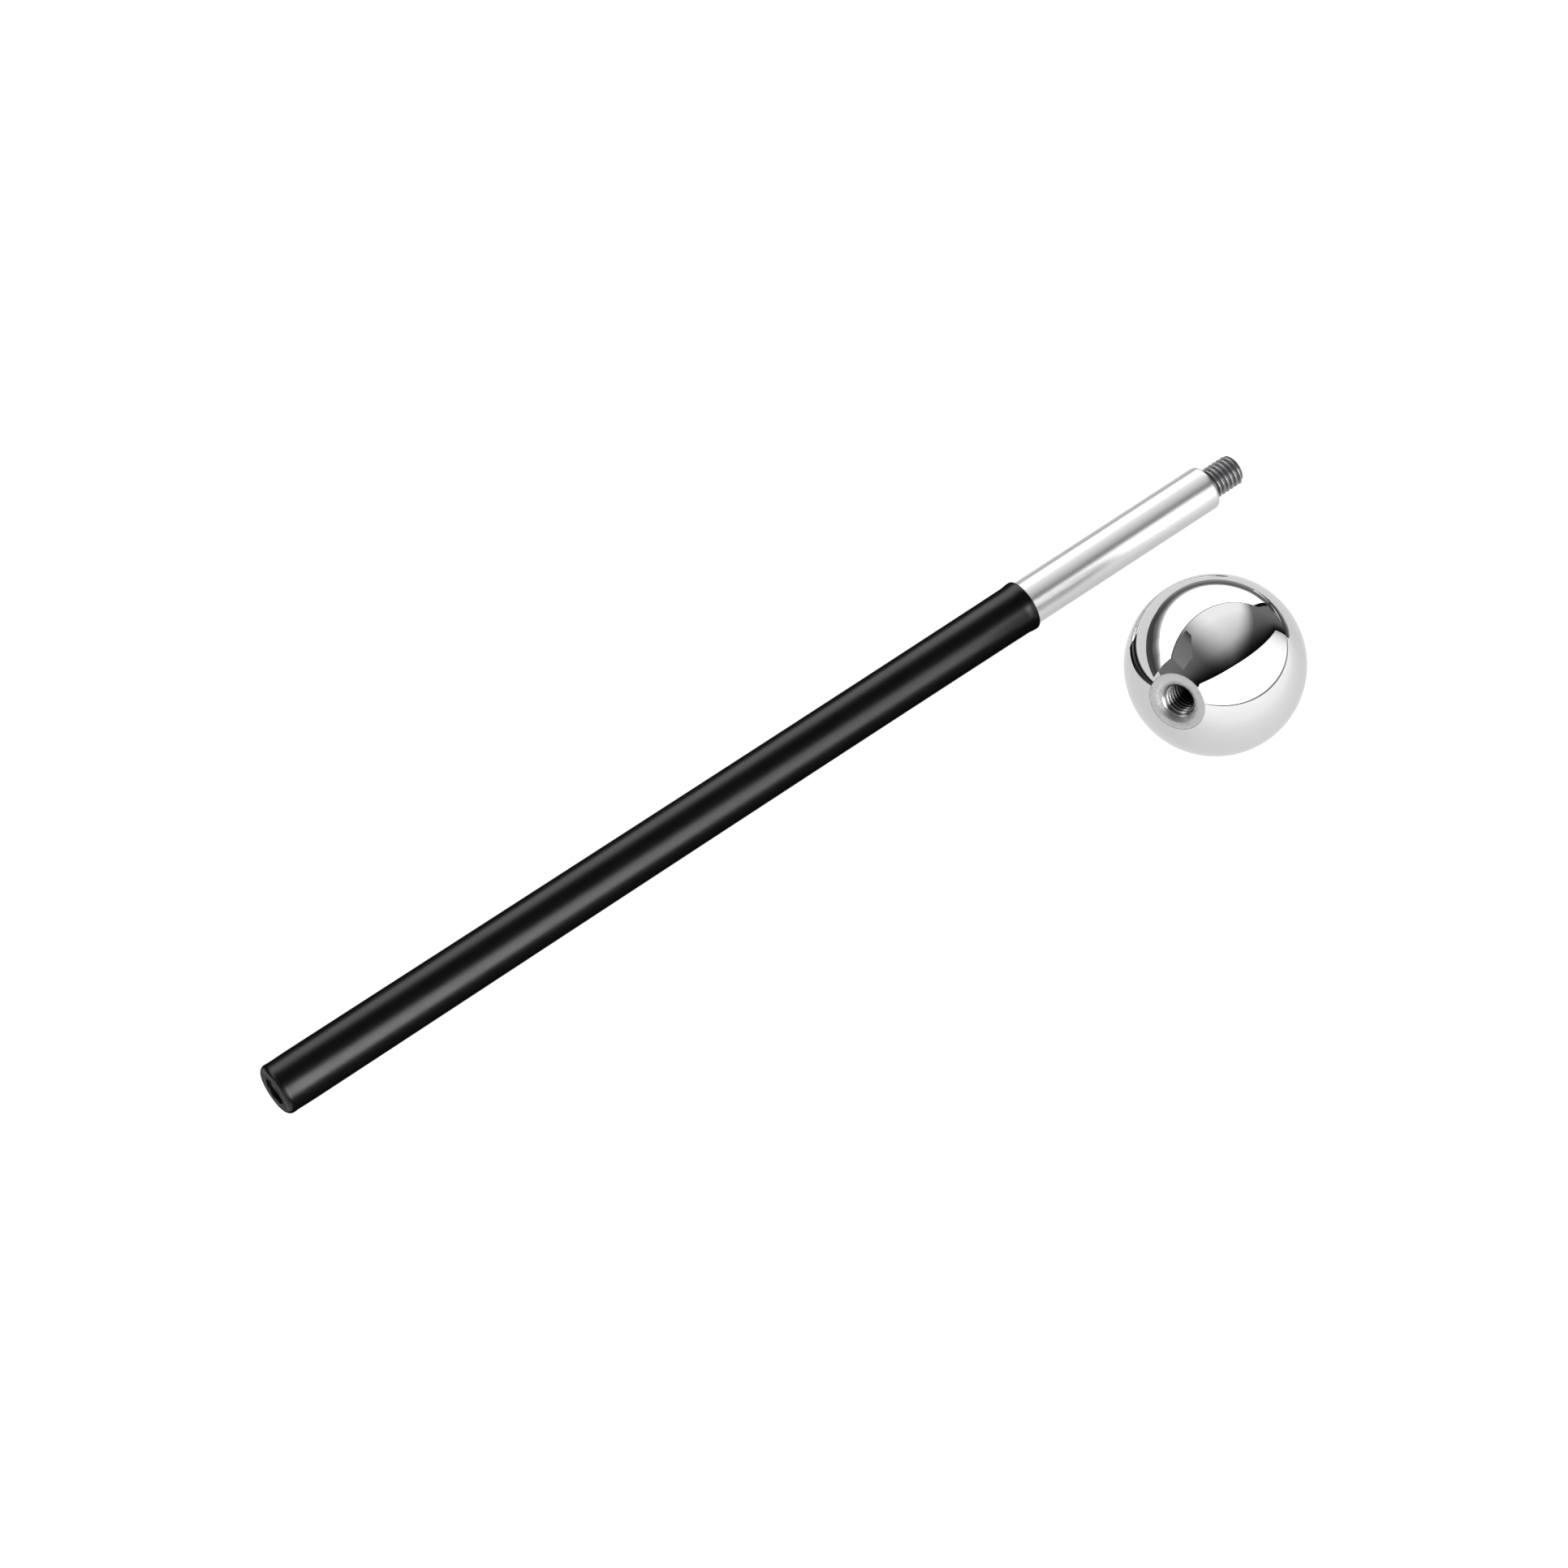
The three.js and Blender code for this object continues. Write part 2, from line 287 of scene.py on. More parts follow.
def build_thread_tree():
    tree = bpy.data.node_groups.new("Screw thread", "GeometryNodeTree")
    name_thread_inputs(tree)
    given = tree.nodes.new("NodeGroupInput").outputs

    turns = add(tree, MATH, (given["Length"], given["Pitch"]), operation="DIVIDE")
    rows = add(tree, MATH, (turns, given["Rows per pitch"]), operation="MULTIPLY")
    around = add(tree, MATH, (given["Sides"], 1.0), operation="ADD")
    grid = add(tree, "GeometryNodeMeshGrid", {
        "Size X": 1.0, "Size Y": 1.0, "Vertices X": rows, "Vertices Y": around,
    })
    position = add(tree, "GeometryNodeInputPosition")
    place = add(tree, "ShaderNodeSeparateXYZ", (position,)).outputs
    share = add(tree, MATH, (place["X"], 0.5), operation="ADD")
    along = add(tree, MATH, (share, given["Length"]), operation="MULTIPLY")
    turn = add(tree, MATH, (place["Y"], 0.5), operation="ADD")
    angle = add(tree, MATH, (turn, 2 * math.pi), operation="MULTIPLY")

    radius = ridge_radius(tree, given, along, turn)
    cosine = add(tree, MATH, (angle,), operation="COSINE")
    sine = add(tree, MATH, (angle,), operation="SINE")
    across = add(tree, MATH, (radius, cosine), operation="MULTIPLY")
    upwards = add(tree, MATH, (radius, sine), operation="MULTIPLY")
    rolled = add(tree, "ShaderNodeCombineXYZ", (along, across, upwards))

    tube = add(tree, "GeometryNodeSetPosition", {"Geometry": grid, "Position": rolled})
    outside = add(
        tree, "FunctionNodeCompare", (given["Side"], 0.0), data_type="FLOAT", operation="GREATER_THAN")
    facing = add(tree, "GeometryNodeFlipFaces", {"Mesh": tube, "Selection": outside})
    welded = add(tree, "GeometryNodeMergeByDistance", {"Geometry": facing, "Distance": WELD_GAP})
    real = add(tree, "GeometryNodeRealizeInstances", (welded,))
    done = add(tree, "GeometryNodeSetMaterial", {"Geometry": real, "Material": given["Finish"]})
    add(tree, "NodeGroupOutput", (done,))
    return tree


thread_tree = build_thread_tree()
thread_inputs = [item for item in thread_tree.interface.items_tree if item.in_out == "INPUT"]
thread_sockets = {item.name: item.identifier for item in thread_inputs}
print("thread tree:", len(thread_tree.nodes), "nodes, inputs", list(thread_sockets))

# %% [markdown]
# ## From the tree to a plain mesh
#
# A tree needs an object to work on. An empty mesh carries the modifier, its inputs are set by the
# identifiers of their sockets, and the evaluated result is copied into the skin of the piece that is
# being made. Then the carrier goes, so that no modifier is left on the finished piece.

# %% Bake one stretch of thread into a plain skin
def add_thread(skin, start, finish, sizes):
    """Adds a stretch of thread that begins at start along the axis. sizes has the tree's input names."""
    holder = bpy.data.objects.new("thread", bpy.data.meshes.new("thread"))
    bpy.context.scene.collection.objects.link(holder)
    modifier = holder.modifiers.new("Thread", "NODES")
    modifier.node_group = thread_tree
    shared = {"Pitch": THREAD_PITCH, "Rows per pitch": ROWS_PER_PITCH, "Sides": SIDES, "Finish": finish}
    for name, value in (shared | sizes).items():
        modifier[thread_sockets[name]] = value
    baked = bpy.data.meshes.new_from_object(holder.evaluated_get(bpy.context.evaluated_depsgraph_get()))
    baked.transform(Matrix.Translation((start, 0, 0)))
    skin.from_mesh(baked)
    print("thread of", round(sizes["Length"], 2), "mm:", len(baked.polygons), "faces")
    bpy.data.objects.remove(holder)
    bpy.data.meshes.remove(baked)


# %% [markdown]
# ## Turn a skin into a finished piece
#
# The skins of one piece are welded where their rings meet, scaled to metres and carried to their place in
# the mesh itself, so that the object stays at the origin. Smooth shading is kept off real corners by an
# angle limit, and the normals are left as the rings made them, because every ring was laid so that its
# faces look outwards: a closed skin with a volume above nothing proves it.

# %% Finish a piece and hand it to the frame
SEAM_GAP = 2e-4
CORNER_ANGLE = math.radians(32)


def finish_piece(name, skin, place, finish, body, node):
    """Makes a skin into an object in its place, hangs it on the empty of the body it rides on, and hides the
    solid it stands for.
    """
    bmesh.ops.remove_doubles(skin, verts=skin.verts, dist=SEAM_GAP)
    open_edges = sum(1 for edge in skin.edges if len(edge.link_faces) != 2)
    volume = skin.calc_volume(signed=True)
    mesh = bpy.data.meshes.new(name)
    skin.to_mesh(mesh)
    skin.free()
    mesh.transform(place @ scale_mm)
    mesh.materials.clear()
    mesh.materials.append(finish)
    mesh.shade_smooth()
    mesh.set_sharp_from_angle(angle=CORNER_ANGLE)
    piece = bpy.data.objects.new(name, mesh)
    bpy.context.scene.collection.objects.link(piece)
    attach(piece, body)
    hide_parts(node)
    print(name, len(mesh.polygons), "faces,", open_edges, "open edges,", round(volume), "cubic mm")


# %% [markdown]
# ## Helpers for the finishes
#
# Colours are written as the hex values that a colour picker gives, and one function makes them linear.
# Every finish works in the piece's own axis coordinates, in millimetres: a Mapping node undoes the place
# of the stick or the ball, so that a pattern runs round the real axis even on the tilted ball.

# %% Colours and axis coordinates
def colour(code):
    """A hex sRGB colour as linear RGBA."""
    channels = [int(code[i:i + 2], 16) / 255 for i in (1, 3, 5)]
    linear = [c / 12.92 if c <= 0.04045 else ((c + 0.055) / 1.055) ** 2.4 for c in channels]
    return (*linear, 1.0)


def start_finish(name, **shader_values):
    """A material with a Principled shader whose plain values are set on its own sockets."""
    finish = bpy.data.materials.new(name)
    finish.use_nodes = True
    tree = finish.node_tree
    shader = tree.nodes["Principled BSDF"]
    for socket, value in shader_values.items():
        shader.inputs[socket.replace("_", " ")].default_value = value
    return finish, tree, shader


def set_stops(ramp, stops):
    """Gives a colour ramp its stops, each a position and a hex colour, in rising order."""
    elements = ramp.color_ramp.elements
    while len(elements) < len(stops):
        elements.new(1.0)
    for element, (position, code) in zip(elements, stops):
        element.position = position
        element.color = colour(code)


def axis_coordinates(tree, place):
    """A point's own coordinates in millimetres: X along the piece's axis, Y and Z across it."""
    found = add(tree, "ShaderNodeTexCoord")
    undone = add(tree, "ShaderNodeMapping", {
        "Vector": found.outputs["Object"],
        "Location": place.to_translation(),
        "Rotation": place.to_euler(),
        "Scale": (MM, MM, MM),
    }, vector_type="TEXTURE")
    return undone.outputs[0]


def from_axis(tree, coordinates):
    """(distance along the axis, distance out from it), in millimetres."""
    parts = add(tree, "ShaderNodeSeparateXYZ", (coordinates,)).outputs
    squared = add(tree, MATH, (parts["Y"], parts["Y"]), operation="MULTIPLY")
    both = add(tree, MATH, (parts["Z"], parts["Z"], squared), operation="MULTIPLY_ADD")
    return parts["X"], add(tree, MATH, (both,), operation="SQRT").outputs[0]


print("mid grey in linear light:", round(colour("#808080")[0], 3))

# %% [markdown]
# ## Finish: centreless-ground and polished steel bar
#
# Bright bar is ground between wheels and then polished along its length. The eye gets a soft mirror: the
# reflections keep their places but lose their edges. The hairlines that do this are a few hundredths of a
# millimetre apart. They are drawn here 0.15 mm apart across the bar and 12 mm long, which is as fine as
# shows.

# %% Polished steel bar
def make_polished_bar(hair_gap=0.15, hair_length=12.0):
    finish, tree, shader = start_finish(
        "polished ground steel bar", Base_Color=colour("#cdcdcd"), Metallic=1.0)
    stretched = add(tree, "ShaderNodeMapping", {
        "Vector": axis_coordinates(tree, stick_place),
        "Scale": (1 / hair_length, 1 / hair_gap, 1 / hair_gap),
    })
    hairs = add(tree, "ShaderNodeTexNoise", {"Vector": stretched, "Scale": 1.0, "Detail": 3.0})
    dull = add(tree, "ShaderNodeMapRange", {"Value": hairs, "To Min": 0.28, "To Max": 0.34})
    tree.links.new(dull.outputs[0], shader.inputs["Roughness"])
    raised = add(tree, "ShaderNodeBump", {"Height": hairs, "Strength": 0.03, "Distance": 0.00001})
    tree.links.new(raised.outputs[0], shader.inputs["Normal"])
    return finish


polished_bar = make_polished_bar()
print("made:", polished_bar.name)

# %% [markdown]
# ## Finish: rolled thread on plain dark steel
#
# A rolled thread has smooth crests, where hands and nuts rub, and rougher roots. The colour and roughness
# follow the distance from the axis, from root to crest, with a mottling of patches a little over half a
# millimetre across. The colour is painted shade: grey and dark in the roots, where shade falls into the
# grooves, and lighter on the crests.

# %% Rolled dark steel
def make_rolled_steel(patch=0.625, patchiness=0.7):
    finish, tree, shader = start_finish("rolled plain steel", Metallic=1.0)
    coordinates = axis_coordinates(tree, stick_place)
    _, out = from_axis(tree, coordinates)
    mottle = add(tree, "ShaderNodeTexNoise", {"Vector": coordinates, "Scale": 1 / patch, "Detail": 4.0})
    lowered = add(tree, MATH, (out, patchiness / 2), operation="SUBTRACT")
    lifted = add(tree, MATH, (mottle, patchiness, lowered), operation="MULTIPLY_ADD")
    # Painted shade: 0 in the shaded root and 1 on the crest; it also sets the roughness.
    root_shade_to_crest = add(tree, "ShaderNodeMapRange", {"Value": lifted, "From Min": STUD_ROOT, "From Max": STUD_CREST})
    shade = add(tree, "ShaderNodeValToRGB", (root_shade_to_crest,))
    set_stops(shade, ((0.0, "#6c6c6e"), (1.0, "#a0a0a1")))
    tree.links.new(shade.outputs[0], shader.inputs["Base Color"])
    dull = add(tree, "ShaderNodeMapRange", {"Value": root_shade_to_crest, "To Min": 0.46, "To Max": 0.30})
    tree.links.new(dull.outputs[0], shader.inputs["Roughness"])
    return finish


rolled_steel = make_rolled_steel()
print("made:", rolled_steel.name)

# %% [markdown]
# ## Finish: heat-shrunk black film
#
# The sleeve is a polymer tube, heated until it shrank tight on the bar. It is black all through, satin,
# and not quite even: the film has a fine orange-peel skin about 0.4 mm across and slow swells 8 mm long
# and 3 mm wide from the heating, which make the long highlights waver a little.

# %% Shrunk black film
def make_shrunk_film(peel=0.4, swell_length=8.0, swell_width=3.0):
    finish, tree, shader = start_finish(
        "heat-shrunk black polymer film", Base_Color=colour("#060606"), Specular_IOR_Level=0.4)
    coordinates = axis_coordinates(tree, stick_place)
    skin_grain = add(tree, "ShaderNodeTexNoise", {"Vector": coordinates, "Scale": 1 / peel, "Detail": 2.0})
    slow = add(tree, "ShaderNodeMapping", {
        "Vector": coordinates,
        "Scale": (1 / swell_length, 1 / swell_width, 1 / swell_width),
    })
    swells = add(tree, "ShaderNodeTexNoise", {"Vector": slow, "Scale": 1.0, "Detail": 1.0})
    dull = add(tree, "ShaderNodeMapRange", {"Value": swells, "To Min": 0.28, "To Max": 0.36})
    tree.links.new(dull.outputs[0], shader.inputs["Roughness"])
    swollen = add(tree, "ShaderNodeBump", {"Height": swells, "Strength": 0.25, "Distance": 0.00006})
    grained = add(tree, "ShaderNodeBump", {
        "Height": skin_grain, "Strength": 0.12, "Distance": 0.00002, "Normal": swollen,
    })
    tree.links.new(grained.outputs[0], shader.inputs["Normal"])
    return finish


shrunk_film = make_shrunk_film()
print("made:", shrunk_film.name)

# %% [markdown]
# ## Finish: mirror-polished stainless steel
#
# The ball was polished with ever finer compound until nothing of the tool was left. It is a plain sharp
# mirror; only a trace of haze from handling changes how sharp, over patches about 6 mm across.

# %% Mirror-polished ball
def make_mirror(haze_patch=6.0):
    finish, tree, shader = start_finish(
        "mirror-polished stainless steel", Base_Color=colour("#dadada"), Metallic=1.0)
    coordinates = axis_coordinates(tree, ball_place)
    haze = add(tree, "ShaderNodeTexNoise", {"Vector": coordinates, "Scale": 1 / haze_patch, "Detail": 3.0})
    dull = add(tree, "ShaderNodeMapRange", {"Value": haze, "To Min": 0.004, "To Max": 0.018})
    tree.links.new(dull.outputs[0], shader.inputs["Roughness"])
    return finish


mirror = make_mirror()
print("made:", mirror.name)

# %% [markdown]
# ## Finish: fine-turned steel
#
# The bush was faced, bevelled and tapped on a lathe. The tool leaves fine rings about 0.12 mm apart, which
# spread the light into a satin. They are drawn 0.25 mm apart, because finer ones don't show, in waves that
# run out from the axis on the flat and along it on the walls. Shade and a highlight are painted into the
# colour. The steel is light on the flat. The bevel round the mouth is painted greyer to tone down its
# reflection. A lighter band paints a highlight on the first ridges. The colour then darkens with depth, most
# of all in the thread's grooves, which paints the shade inside the hole.

# %% Fine-turned bush
# The depths below count towards painted shade: the deeper into the hole and into a groove, the darker the
# colour.
CLOUD = 1 / 1.3  # the size of a blotch, in millimetres
BLOTCH_DEPTH = 0.8  # how much depth a blotch counts for, in millimetres
GROOVE_SHADE = 4.0  # how much depth the bottom of a groove counts for, in millimetres
FULL_SHADE = 9.0  # the depth, with grooves and blotches counted in, at which the steel is fully dark
WALL_SHINE = 0.08  # how much smoother the walls of the hole are than the flat


def make_turned_steel(ring_gap=0.25):
    finish, tree, shader = start_finish("fine-turned steel", Metallic=1.0)
    coordinates = axis_coordinates(tree, ball_place)
    along, out = from_axis(tree, coordinates)
    cloud = add(tree, "ShaderNodeTexNoise", {"Vector": coordinates, "Scale": 1 / CLOUD, "Detail": 4.0})
    deep = add(tree, MATH, (BALL_FLAT, along), operation="SUBTRACT")
    wall = add(tree, "ShaderNodeMapRange", {"Value": deep, "From Min": 0.5, "From Max": 0.8})
    groove = add(tree, "ShaderNodeMapRange", {
        "Value": out, "From Min": 3.4, "From Max": 3.9, "To Max": GROOVE_SHADE,
    })
    below = add(tree, MATH, (deep, BLOTCH_DEPTH / 2), operation="SUBTRACT")
    shade_depth = add(tree, MATH, (wall, groove, below), operation="MULTIPLY_ADD")
    mottled_shade_depth = add(tree, MATH, (cloud, BLOTCH_DEPTH, shade_depth), operation="MULTIPLY_ADD")
    painted_shade_share = add(tree, "ShaderNodeMapRange", {"Value": mottled_shade_depth, "From Min": 0.0, "From Max": FULL_SHADE})
    # Painted shade and highlight: the ramp greys the bevel to tone down its reflection, lightens the first
    # ridges as a painted highlight, and darkens the colour deep in the hole and in the grooves as painted
    # shade.
    shade = add(tree, "ShaderNodeValToRGB", (painted_shade_share,))
    set_stops(shade, (
        (0.0, "#d0d0d0"), (0.035, "#b4b4b4"), (0.06, "#8c8c8c"), (0.11, "#747474"),
        (0.2, "#b8b8b8"), (0.5, "#6c6c6c"), (1.0, "#161616"),
    ))
    tree.links.new(shade.outputs[0], shader.inputs["Base Color"])
    travel = add(tree, MATH, (along, out), operation="ADD")
    waves = add(tree, MATH, (travel, 2 * math.pi / ring_gap), operation="MULTIPLY")
    rings = add(tree, MATH, (waves,), operation="SINE")
    satin = add(tree, "ShaderNodeMapRange", {"Value": cloud, "To Min": 0.26, "To Max": 0.42})
    dull = add(tree, MATH, (wall, -WALL_SHINE, satin), operation="MULTIPLY_ADD")
    tree.links.new(dull.outputs[0], shader.inputs["Roughness"])
    raised = add(tree, "ShaderNodeBump", {"Height": rings, "Strength": 0.2, "Distance": 0.00001})
    tree.links.new(raised.outputs[0], shader.inputs["Normal"])
    return finish


turned_steel = make_turned_steel()
print("made:", turned_steel.name)

# %% [markdown]
# ## The bar
#
# A plain round bar. The shoulder round the stud is broken to a soft radius, the butt has a small chamfer
# under the sleeve's lip, and a tapped hole goes into the butt. The hole's ridges come from the thread
# tree with Side at -1, so that they stand inwards. The profile starts at the bottom of that hole, goes
# out over the butt, along the bar, round the shoulder and down into the seat that the stud sits in.

# %% Turn the bar
skin = bmesh.new()
hole_bottom = BAR_START + BUTT_HOLE_DEPTH
spin(skin, [
    (hole_bottom + BUTT_HOLE_POINT, 0),
    (hole_bottom, TAPPED_ROOT),
    (hole_bottom, TAPPED_BOTTOM),
])
add_thread(skin, BAR_START, polished_bar, {
    "Length": BUTT_HOLE_DEPTH, "Crest": TAPPED_ROOT, "Root": TAPPED_CREST, "Side": -1.0,
    "Start radius": TAPPED_MOUTH, "Start slope": 1.0, "End radius": TAPPED_BOTTOM, "End slope": 1.0,
})
spin(skin, [
    (BAR_START, TAPPED_MOUTH),
    (BAR_START, BAR_RADIUS - EDGE_BREAK),
    (BAR_START + EDGE_BREAK, BAR_RADIUS),
    (BAR_START + HELD_START, BAR_RADIUS),
    (BAR_END - SHOULDER_ROUND - HELD_END, BAR_RADIUS),
    *arc(BAR_END - SHOULDER_ROUND, BAR_RADIUS - SHOULDER_ROUND, SHOULDER_ROUND, 90, 0, 12),
    (BAR_END, TAPPED_MOUTH),
    (BAR_END - EDGE_BREAK, SEAT_RADIUS),
    (BAR_END - SEAT_DEPTH, SEAT_RADIUS),
    (BAR_END - SEAT_DEPTH - SEAT_POINT, 0),
])
finish_piece("polished_bar", skin, stick_place, polished_bar, "stick", "bar")

# %% [markdown]
# ## The stud
#
# The stud is a short screw. Its plain shank is hidden in the bar. Outside, a narrow neck lets the ball
# seat fully on the shoulder, then the ridges run to a chamfered tip.

# %% Roll the stud
skin = bmesh.new()
shank_end = BAR_END - STUD_IN
spin(skin, [
    (shank_end, 0),
    (shank_end, SHANK_RADIUS - SHANK_BREAK),
    (shank_end + SHANK_BREAK, SHANK_RADIUS),
    (BAR_END - SHANK_SHORT, SHANK_RADIUS),
    (BAR_END + NECK_LENGTH, NECK_RADIUS),
])
add_thread(skin, BAR_END + NECK_LENGTH, rolled_steel, {
    "Length": STUD_OUT - NECK_LENGTH, "Crest": STUD_CREST, "Root": STUD_ROOT, "Side": 1.0,
    "Start radius": NECK_RADIUS, "Start slope": 1.0, "End radius": TIP_RADIUS, "End slope": TIP_SLOPE,
})
spin(skin, [(BAR_END + STUD_OUT, TIP_RADIUS), (BAR_END + STUD_OUT, 0)])
finish_piece("rolled_stud", skin, stick_place, rolled_steel, "stick", "threaded_stud")

# %% [markdown]
# ## The sleeve
#
# Shrunk film follows what is under it. It closes over the butt's edge in a round lip with a round hole
# left open, dips slightly where it leaves the bar's corner, thins towards the waist, and is rolled back
# on itself at the far rim, which makes a low collar.

# %% Shrink the sleeve
skin = bmesh.new()
waist_run = []
for step in range(13):
    share = step / 12
    thinned = BUTT_RADIUS + (WAIST_RADIUS - BUTT_RADIUS) * math.sin(share * math.pi / 2) ** 1.2
    waist_run.append((THINNING_START + (THINNING_END - THINNING_START) * share, thinned))

collar_start = SLEEVE_END - COLLAR_LENGTH
collar_rise = []
for step in range(11):
    share = step / 10
    swell = share * share * (3 - 2 * share)
    raised = RIM_RADIUS + (COLLAR_RADIUS - RIM_RADIUS) * swell
    collar_rise.append((collar_start - COLLAR_LEAD + COLLAR_RISE * share, raised))

spin(skin, [
    (LIP_BACK, LIP_HOLE + LIP_DRAFT),
    *arc(LIP_EDGE, LIP_HOLE + LIP_EDGE, LIP_EDGE, 270, 180, 5),
    *arc(LIP_ROUND, BUTT_RADIUS - LIP_ROUND, LIP_ROUND, 180, 90, 14),
    *[(along, BUTT_RADIUS - depth) for along, depth in BUTT_DIP],
    *waist_run,
    (WAIST_END, WAIST_RADIUS + FILM_EASE),
    (collar_start - RIM_RUN, RIM_RADIUS - FILM_EASE),
    *collar_rise,
    *arc(SLEEVE_END - COLLAR_ROUND, COLLAR_RADIUS - COLLAR_ROUND, COLLAR_ROUND, 90, 0, 8),
    (SLEEVE_END - RIM_DRAFT, SLEEVE_BORE),
    (LIP_BACK, SLEEVE_BORE),
    (LIP_BACK, LIP_HOLE + LIP_DRAFT),
])
finish_piece("shrunk_sleeve", skin, stick_place, shrunk_film, "stick", "grip_sleeve")

# %% [markdown]
# ## The ball
#
# Two half shells were pressed from sheet, welded, ground and polished, and the weld no longer shows. The
# ball is cut flat where the bush comes through. A mirror shows every facet, so the ball gets a fine mesh
# and smooth normals.

# %% Press the shell
skin = bmesh.new()
inside = BALL_RADIUS - BALL_WALL
outer_mouth = math.degrees(math.asin(SHELL_MOUTH / BALL_RADIUS))
inner_mouth = math.degrees(math.asin(SHELL_MOUTH / inside))
spin(skin, [
    (-BALL_RADIUS, 0),
    *arc(0, 0, BALL_RADIUS, 180, outer_mouth, 120)[1:],
    (BALL_FLAT - MOUTH_BREAK, SHELL_MOUTH - MOUTH_DRAFT),
    *arc(0, 0, inside, inner_mouth, 180, 40)[:-1],
    (-inside, 0),
])
finish_piece("mirror_ball", skin, ball_place, mirror, "ball", "ball_shell")

# %% [markdown]
# ## The bush
#
# A short turned bush with a shallow bevel and the same tapped thread as the butt. It stands flush with
# the flat. It is spun like the rest, and its threaded hole is the same stretch of Geometry Nodes, open at
# both ends.

# %% Turn and tap the bush
skin = bmesh.new()
bush_back = BALL_FLAT - BUSH_LENGTH
bevel_foot = BALL_FLAT - BEVEL_DEPTH
add_thread(skin, bush_back, turned_steel, {
    "Length": bevel_foot - bush_back, "Crest": TAPPED_ROOT, "Root": TAPPED_CREST, "Side": -1.0,
    "Start radius": TAPPED_MOUTH, "Start slope": 1.0, "End radius": TAPPED_MOUTH, "End slope": 1.0,
})
spin(skin, [
    (bush_back, TAPPED_MOUTH),
    (bush_back, BUSH_RADIUS - EDGE_BREAK),
    (bush_back + EDGE_BREAK, BUSH_RADIUS),
    (BALL_FLAT - BUSH_BREAK, BUSH_RADIUS),
    (BALL_FLAT, BUSH_RADIUS - BUSH_BREAK),
    (BALL_FLAT, BEVEL_RADIUS + BEVEL_LEAD),
    (BALL_FLAT - BEVEL_EASE, BEVEL_RADIUS),
    (bevel_foot + FOOT_RISE, TAPPED_MOUTH + FOOT_RUN),
    (bevel_foot, TAPPED_MOUTH),
])
finish_piece("turned_bush", skin, ball_place, turned_steel, "ball", "ball_bush")

# %% [markdown]
# ## The studio
#
# Polished metal has no look of its own: it shows the room. The stick lies on a backlit white table
# between two long softboxes, under a dim ceiling that is darkest beside the near box and brightens
# towards the far one. The dark of the ceiling draws the grey streak on the bar and the leaf shape on the
# ball. All of the room except the table is hidden from the camera, so that a view from any side has the
# same plain pale background. Every surface of the room is a flat card that shines by itself, which is
# quicker and steadier than a lit one.
#
# Places in the room are in metres from the middle of the model: X runs from beyond the butt to the far
# end, the near softbox is on the -Y side and the far one on the +Y side.

# %% Cards of the studio
ROOM_START, ROOM_END = -1.9, 6.0
NEAR_SIDE, FAR_SIDE = -1.0, 1.2
BOX_AWAY = 1.0
CEILING = 1.28
FLOOR = -0.45
HUNG = 0.02  # how far a card hangs in front of the one behind it


def place_card(name, low_edge, high_edge, finish):
    """A strip of quads between two edges with as many corners. Its UV map holds the rise from 0 to 1."""
    mesh = bpy.data.meshes.new(name)
    count = len(low_edge)
    faces = [(i, i + 1, count + i + 1, count + i) for i in range(count - 1)]
    mesh.from_pydata([*low_edge, *high_edge], [], faces)
    rise = mesh.uv_layers.new(name="rise")
    for loop in mesh.loops:
        rise.uv[loop.index].vector = (0.5, 1.0 if loop.vertex_index >= count else 0.0)
    mesh.materials.append(finish)
    card = bpy.data.objects.new(name, mesh)
    bpy.context.scene.collection.objects.link(card)
    card.visible_camera = False
    return card


def level_card(name, height, outline, finish):
    """A level card. Its outline lists (x, near edge, far edge)."""
    near_edge = [(x, near, height) for x, near, far in outline]
    far_edge = [(x, far, height) for x, near, far in outline]
    return place_card(name, near_edge, far_edge, finish)


def side_card(name, away, outline, finish):
    """An upright card along the room, this far to the +Y side. Its outline lists (x, foot, top)."""
    feet = [(x, away, foot) for x, foot, top in outline]
    tops = [(x, away, top) for x, foot, top in outline]
    return place_card(name, feet, tops, finish)


def end_card(name, x, outline, finish):
    """An upright card across the room. Its outline lists (y, foot, top)."""
    feet = [(x, y, foot) for y, foot, top in outline]
    tops = [(x, y, top) for y, foot, top in outline]
    return place_card(name, feet, tops, finish)


print("room:", round(ROOM_END - ROOM_START, 2), "m long and", round(CEILING - FLOOR, 2), "m high")

# %% [markdown]
# ## Shining finishes
#
# A card has one colour, or a colour ramp read along the room, across it, or up the card. Three small
# functions give the ramp its place from 0 to 1.

# %% Shining finishes
def glow(name, code, strength=1.0):
    """A finish that only shines, with one colour all over."""
    return start_finish(
        name, Base_Color=colour("#000000"), Roughness=1.0, Specular_IOR_Level=0.0,
        Emission_Color=colour(code), Emission_Strength=strength)[0]


def fading_glow(name, strength, share_of, stops):
    """A finish that shines by a colour ramp. share_of builds the 0 to 1 value that the ramp reads."""
    finish = glow(name, "#ffffff", strength)
    tree = finish.node_tree
    ramp = add(tree, "ShaderNodeValToRGB", (share_of(tree),))
    set_stops(ramp, stops)
    tree.links.new(ramp.outputs[0], tree.nodes["Principled BSDF"].inputs["Emission Color"])
    return finish


